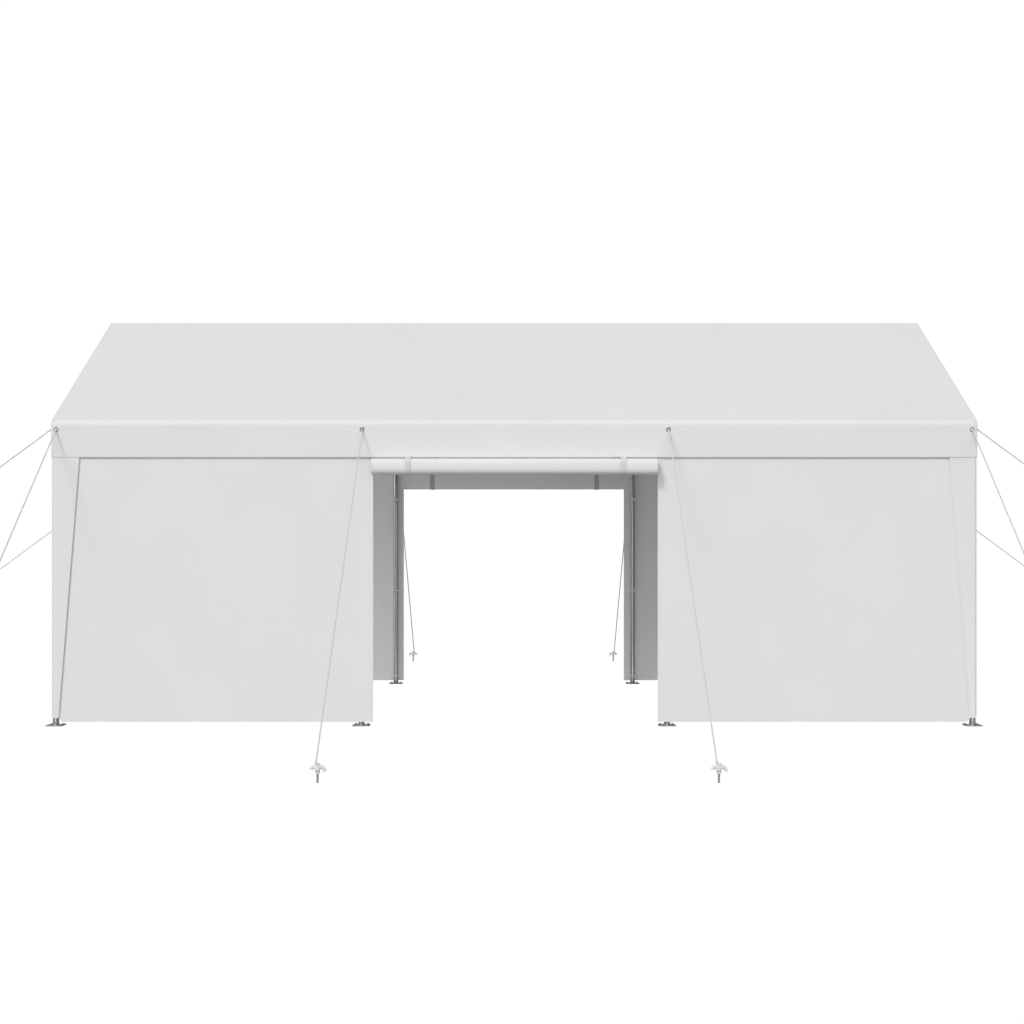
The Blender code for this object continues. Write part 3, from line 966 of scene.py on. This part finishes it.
webbing, start = new_material("webbing", Specular_IOR_Level=0.3, Sheen_Weight=0.1)
uv, across, along = cloth_place(start)
rib = (along * (math.pi / 0.0016)).wave() * (across * (math.pi / 0.0022)).wave()
worn = clouds(start, 80.0, 3.0, uv)
# Past 0.4 m along, where the strap has gone under the roll and runs up on its wall side, it is
# painted darker grey: a painted shade.
outside = (0.5 + 0.5 * rib).blend(grey(0.66), grey(0.72))
inside = worn.ramp(0.3, 0.7).blend(grey(0.46), grey(0.52))
feed(
    webbing,
    Base_Color=(along > STRAP_SHADE_FROM).blend(outside, inside),
    Roughness=worn.ramp(0.3, 0.7, 0.70, 0.85),
    Normal=bump(start, rib + 0.4 * worn, 0.35, 0.0006),
)


def round_roll(radius, angle):
    """Point (y, z) on the sagged roll at an angle."""
    out = radius * squash(angle)
    return -ROLL_Y + out * math.cos(angle), ROLL_Z + out * math.sin(angle)


def strap_path(length):
    """Point (y, z) of a strap, from its sewn top round the roll and up inside the panel."""
    radius = ROLL_RADIUS + 0.0012
    hang_y = -(PANEL_OUTER_Y + 0.0030)
    start_z = ROLL_Z + 0.085
    down = STRAP_TOP_Z - start_z
    if length < down:
        return hang_y, STRAP_TOP_Z - length
    length -= down
    if length < STRAP_LEAD:
        share = length / STRAP_LEAD
        first = Vector((hang_y, start_z))
        last = Vector(round_roll(radius, STRAP_TOUCH))
        one = first + Vector((0.0, -0.030))
        two = last + Vector((0.022, 0.010))
        left = 1 - share
        point = left**3 * first + share**3 * last
        point += 3 * left * share * (left * one + share * two)
        return point.x, point.y
    length -= STRAP_LEAD
    arc = 2 * math.pi - STRAP_TOUCH
    if length < radius * arc:
        return round_roll(radius, STRAP_TOUCH + length / radius)
    return radius - ROLL_Y, ROLL_Z + length - radius * arc


def strap_place(u, v):
    y, z = strap_path(v)
    return Vector((u, y, z))


def facing(side):
    """Turns what is made for the front round to the rear, where that is its side."""
    return Matrix.Rotation(0.0 if side < 0 else math.pi, 4, "Z")


strap_us = steps((-STRAP_WIDTH / 2, 0), (STRAP_WIDTH / 2, 0.00875))
strap_vs = steps((0.0, 0), (0.48, 0.006), (0.68, 0.02))
strap = flat_sheet("strap", strap_us, strap_vs, strap_place)
for word, side in SIDES:
    turn = Matrix.Translation((0, 0, PANEL_RISE[word])) @ facing(side)
    node = f"{word}_wall_roll"
    piece, finish = doorway_panel(node + "_sheet", word)
    piece.data.transform(turn)
    fit(piece, "wall_tarp", node, material=finish)
    thicken(piece)
    for number, x in enumerate(STRAP_XS[word], start=1):
        piece = copy_of(strap, f"{word}_roll_strap_{number}", turn @ Matrix.Translation((x, 0, 0)))
        fit(piece, "wall_tarp", material=webbing)
        thicken(piece, STRAP_THICKNESS)
drop(strap)


# Wall ties: short white cords sewn to the inner face of the walls hold them to every leg at
# three heights. Each goes three times round the leg, is pressed flat between it and the tarp,
# and ends in a small knot beside it.
TIE_RADIUS = 0.0022
TIE_PRESSED = -0.0204

tie_cord, start = new_material("tie_cord", Specular_IOR_Level=0.3)
twist = clouds(start, 300.0, 2.0)
feed(
    tie_cord,
    Base_Color=twist.ramp(0.3, 0.7).blend(grey(0.76), grey(0.86)),
    Roughness=twist.ramp(0.3, 0.7, 0.70, 0.85),
    Normal=bump(start, twist, 0.3, 0.0006),
)
tie = torus("tie", TUBE_RADIUS + TIE_RADIUS, TIE_RADIUS, 32, 8)
turns = [copy_of(tie, "turn", Matrix.Translation((0, 0, rise))) for rise in (-0.0042, 0.0042)]
tie = join(tie, *turns)
for vertex in tie.data.vertices:
    vertex.co.z += 0.08 * vertex.co.y
    vertex.co.x = max(vertex.co.x, TIE_PRESSED)
    vertex.co.y = max(vertex.co.y, TIE_PRESSED)
knot = ball("knot", 16, 10, (0.018, 0.016, 0.0), (0.0100, 0.0080, 0.0130))
tails = []
for lean in (-0.5, 0.35):
    tail = new_piece(
        bpy.ops.mesh.primitive_cone_add,
        "tail",
        vertices=8,
        radius1=0.0013,
        radius2=0.0019,
        depth=0.026,
        location=(0.026 + 0.006 * lean, 0.014, -0.012),
        rotation=(0.2, -lean, 0.0),
    )
    tails.append(tail)
tie = join(tie, knot, *tails)
smooth(tie, 60)
for word, side in SIDES:
    for number, x in enumerate(LEG_XS, start=1):
        rings = []
        way = 1 if (abs(x) < 2) == (x * side < 0) else -1
        for z in WALL_TIE_ZS:
            flip = Matrix.Diagonal((way, 1, 1, 1))
            place = Matrix.Translation((x, side * LEG_Y, z)) @ facing(side) @ flip
            ring = copy_of(tie, f"tie_{word}_{number}", place)
            if way < 0:
                ring.data.flip_normals()
            rings.append(ring)
        fit(join(*rings), "wall_tarp", material=tie_cord)
drop(tie)


# Guy lines: twelve braided ropes come out of the grommets and run straight to stakes in the
# ground, one from each middle leg and two from each corner leg. Each ends beside the hub of its
# stake's arched plastic head, under a whipping of close turns, and is hitched round the hub.
ROPE_RADIUS = 0.0042
ROPE_FOOT_Z = 0.0940
ROPE_BESIDE = 0.009
GUY_RUN_SIDE = 2.43
GUY_RUN_END = 2.53
STAKE_XS = {"front": (-3.0, -0.984, 1.0245, 3.0), "rear": (-3.0, -1.010, 0.990, 3.0)}
STAKE_RADIUS = 0.0056
STAKE_TOP_Z = 0.070
HEAD_RADIUS = 0.043
HEAD_THICKNESS = 0.019
HEAD_DEPTH = 0.017
HEAD_HEIGHT = 0.035
HEAD_CENTRE_Z = 0.0605
HUB_RADIUS = 0.011
HITCH_RADIUS = 0.0112
HITCH_CORD = 0.0020
WHIPPING_RADIUS = 0.0050
WHIPPING_CORD = 0.0016
WHIPPING_START = 0.009
WHIPPING_PITCH = 0.0032

rope_braid, start = new_material("rope_braid", Specular_IOR_Level=0.25, Sheen_Weight=0.1)
uv, across, along = cloth_place(start)
round_rope = across * (8 * math.pi)
along_rope = along * (2 * math.pi / 0.009)
strand = (round_rope + along_rope).wave() * (round_rope - along_rope).wave()
fuzz = clouds(start, 400.0, 2.0)
feed(
    rope_braid,
    Base_Color=(0.5 + 0.5 * strand).blend(grey(0.64), grey(0.78)),
    Roughness=fuzz.ramp(0.3, 0.7, 0.75, 0.9),
    Normal=bump(start, strand + 0.3 * fuzz, 0.5, 0.0006),
)

head_plastic, start = new_material("head_plastic", IOR=1.5, Specular_IOR_Level=0.45)
grain = clouds(start, 160.0, 3.0)
feed(
    head_plastic,
    Base_Color=grain.ramp(0.3, 0.7).blend(grey(0.76), grey(0.84)),
    Roughness=grain.ramp(0.3, 0.7, 0.40, 0.52),
    Normal=bump(start, grain, 0.1, 0.0004),
)


def rope_line(name, points, radius=ROPE_RADIUS, sides=12):
    """A closed rope along points, with its braid's UV map."""
    points = [Vector(point) for point in points]
    lengths = [0.0]
    for first, second in zip(points, points[1:]):
        lengths.append(lengths[-1] + (second - first).length)
    frames = []
    guide = Vector((1.0, 0.0, 0.0))
    for number, point in enumerate(points):
        before = points[max(0, number - 1)]
        after = points[min(len(points) - 1, number + 1)]
        ahead = (after - before).normalized()
        guide = (guide - guide.dot(ahead) * ahead).normalized()
        frames.append((point, guide.copy(), ahead.cross(guide)))
    where = {length: frames[number] for number, length in enumerate(lengths)}

    def place(u, v):
        point, one, two = where[v]
        turn = 2 * math.pi * u
        return point + radius * (math.cos(turn) * one - math.sin(turn) * two)

    us = [step / sides for step in range(sides + 1)]
    piece = flat_sheet(name, us, lengths, place)
    edit(piece, "EDGE", lambda e: e.is_boundary)
    bpy.ops.mesh.edge_face_add()
    done()
    smooth(piece, 60)
    return piece


def guy_path(centre, out, foot):
    """From a knot behind the valance, through the grommet's hole, and straight to the stake."""
    inside = centre - 0.012 * out + Vector((0, 0, 0.004))
    hole = centre + Vector((0, 0, 0.001))
    run = foot - (centre + 0.004 * out)
    ahead = run.normalized()
    first = centre + 0.004 * out + Vector((0, 0, -0.0022)) + 0.006 * ahead
    behind = centre - 0.004 * out + Vector((0, 0, 0.003))
    before = centre + 0.0024 * out - Vector((0, 0, 0.0006))
    points = [inside, behind, hole, before, first]
    for step in range(1, 25):
        points.append(first + (foot - first) * step / 24)
    return points


head = torus(
    "head",
    HEAD_RADIUS - HEAD_THICKNESS / 2,
    HEAD_THICKNESS / 2,
    48,
    16,
    location=(0, 0, HEAD_CENTRE_Z),
    rotation=upright,
)
edit(head, "FACE", lambda f: True)
bpy.ops.mesh.bisect(
    plane_co=(0, 0, HEAD_CENTRE_Z + 0.0007), plane_no=(0.17, 0, 1), use_fill=True, clear_inner=True
)
done()
bevel(head, 0.002, 3, rim)
for vertex in head.data.vertices:
    rise = vertex.co.z - HEAD_CENTRE_Z
    vertex.co.z = HEAD_CENTRE_Z + rise * HEAD_HEIGHT / HEAD_RADIUS
    vertex.co.y *= (HEAD_DEPTH / HEAD_THICKNESS) * (0.7 + 0.3 * min(1.0, max(0.0, rise / 0.04)))
web = ball("web", 28, 14, (0, 0, HEAD_CENTRE_Z + 0.0190), (0.0285, 0.009, 0.0150))
hub = cylinder("hub", 24, HUB_RADIUS, 0.050, location=(0, 0, 0.0705))
bevel(hub, 0.002, 3, rim)
head = join(head, web, hub)
smooth(head, 50)
shaft = cylinder("shaft", 20, STAKE_RADIUS, STAKE_TOP_Z, location=(0, 0, STAKE_TOP_Z / 2))
eye = torus("eye", 0.0102, 0.0022, 28, 10, location=(0, 0, 0.0590))
shaft = join(shaft, eye)
smooth(shaft, 50)
lines = []
for word, side in SIDES:
    for number in range(4):
        x = GROMMET_XS[word][number]
        centre = Vector((x, side * (LEG_Y + ROOF_EAVE_RADIUS), GROMMET_Z))
        foot = Vector((STAKE_XS[word][number], side * (LEG_Y + GUY_RUN_SIDE), ROPE_FOOT_Z))
        lines.append((f"guy_line_{word}_{number + 1}", centre, Vector((0, side, 0)), foot))
    for end, reach in (("left", -1), ("right", 1)):
        centre = Vector((reach * (ROOF_END_X - 0.001), side * LEG_Y, END_GROMMET_Z))
        foot = Vector((reach * (3.0 + GUY_RUN_END), side * LEG_Y, ROPE_FOOT_Z))
        lines.append((f"guy_line_{end}_{word}", centre, Vector((reach, 0, 0)), foot))
for node, centre, out, stake in lines:
    turn = Matrix.Rotation(math.atan2(out.x, -out.y), 4, "Z")
    foot = stake + turn @ Vector((-ROPE_BESIDE, 0, 0))
    rope = rope_line(node + "_rope", guy_path(centre, out, foot))
    back = (centre - foot).normalized()
    side_way = back.cross(Vector((0, 0, 1))).normalized()
    up_way = side_way.cross(back)
    turns = []
    for step in range(31):
        angle = 2 * math.pi * step / 12
        around = math.cos(angle) * side_way + math.sin(angle) * up_way
        along = WHIPPING_START + WHIPPING_PITCH * step / 12
        turns.append(foot + along * back + WHIPPING_RADIUS * around)
    loop = []
    for step in range(25):
        angle = 2 * math.pi * step / 24
        around = Vector((math.cos(angle), math.sin(angle), 0.18 * math.sin(angle)))
        loop.append(stake + HITCH_RADIUS * around)
    whipping = rope_line("whipping", turns, WHIPPING_CORD, 8)
    hitch = rope_line("hitch", loop, HITCH_CORD, 8)
    rope = join(rope, whipping, hitch)
    fit(rope, "guy_rope", node, material=rope_braid)
    place = Matrix.Translation((stake.x, stake.y, 0)) @ turn
    fit(copy_of(head, node + "_head", place), "guy_rope", material=head_plastic)
    fit(copy_of(shaft, node + "_stake", place), "foot_plate", material=plate_steel)
drop(head)
drop(shaft)


# Studio: a plain white floor and white surroundings, as wide as any view needs. Soft light
# comes from all round, from a broad lamp high on the left and from a broader one in front. Two
# dim lamps inside the left end stand for the daylight that glows through that end's tarp, and
# a third one, which only shiny surfaces show, for its gleam on the steel.
CAMERA_Y = -11.8
CAMERA_Z = 1.217
LENS = 55.3
SHIFT_X = -2.2 / 1024
SHIFT_Y = 27.5 / 1024
SKY = 0.433
GROUND = 0.236
KEY_LAMP = 1.350
FRONT_LAMP = 0.984
GLOW_WIDTH = 1.6

scene = bpy.context.scene
scene.view_settings.view_transform = "Standard"
scene.view_settings.look = "None"

floor = new_piece(bpy.ops.mesh.primitive_plane_add, "floor", size=400.0)
white = bpy.data.materials.new("floor_white")
white.use_nodes = True
white.node_tree.nodes.clear()
start = Signal(white.node_tree)
glow = start.node("ShaderNodeEmission", None, {"Color": grey(1.0), "Strength": 1.02})
surface = white.node_tree.nodes.new("ShaderNodeOutputMaterial")
white.node_tree.links.new(glow.socket, surface.inputs["Surface"])
floor.data.materials.append(white)
floor.visible_diffuse = False
floor.visible_glossy = False
floor.visible_transmission = False
floor.visible_shadow = False

world = bpy.data.worlds.new("studio")
scene.world = world
world.use_nodes = True
world.node_tree.nodes.clear()
start = Signal(world.node_tree)
way = start.node("ShaderNodeTexCoord", output="Generated")
height = start.node("ShaderNodeSeparateXYZ", None, {0: way}, "Z")
light = (0.5 + 0.5 * height) * (SKY - GROUND) + GROUND
seen = start.node("ShaderNodeLightPath", output="Is Camera Ray")
level = light * (1 - seen) + 1.02 * seen
ambient = start.node("ShaderNodeBackground", None, {"Color": grey(1.0), "Strength": level})
surface = world.node_tree.nodes.new("ShaderNodeOutputWorld")
world.node_tree.links.new(ambient.socket, surface.inputs["Surface"])

lamps = (
    ("key", KEY_LAMP, 14, (0.36, 0.65, -0.67)),
    ("front", FRONT_LAMP, 50, (0.0, 0.966, -0.259)),
)
for name, energy, width, aim in lamps:
    lamp = bpy.data.lights.new(name, "SUN")
    lamp.energy = energy
    lamp.angle = math.radians(width)
    made = bpy.data.objects.new(name, lamp)
    scene.collection.objects.link(made)
    made.location = -12 * Vector(aim)
    made.rotation_euler = Vector(aim).to_track_quat("-Z", "Y").to_euler()
glows = (
    ("left_end_low", 14.2, 0.46, (-2.94, 0.1, 0.27), False),
    ("left_end_high", 2.4, 1.60, (-2.94, 0.1, 0.87), False),
    ("left_end_gleam", 19.0, 1.92, (-2.94, 0.6, 0.99), True),
)
for name, energy, height, place, gleam in glows:
    lamp = bpy.data.lights.new(name, "AREA")
    lamp.shape = "RECTANGLE"
    lamp.size = GLOW_WIDTH
    lamp.size_y = height
    lamp.energy = energy
    made = bpy.data.objects.new(name, lamp)
    scene.collection.objects.link(made)
    made.location = place
    made.rotation_euler = Vector((1.0, 0.0, 0.0)).to_track_quat("-Z", "Y").to_euler()
    made.visible_camera = False
    made.visible_diffuse = not gleam
    made.visible_glossy = gleam

lens = bpy.data.cameras.new("camera")
lens.lens = LENS
lens.sensor_width = 36.0
lens.shift_x = SHIFT_X
lens.shift_y = SHIFT_Y
lens.clip_end = 500.0
camera = bpy.data.objects.new("camera", lens)
scene.collection.objects.link(camera)
camera.location = (0.0, CAMERA_Y, CAMERA_Z)
camera.rotation_euler = (math.pi / 2, 0.0, 0.0)
scene.camera = camera
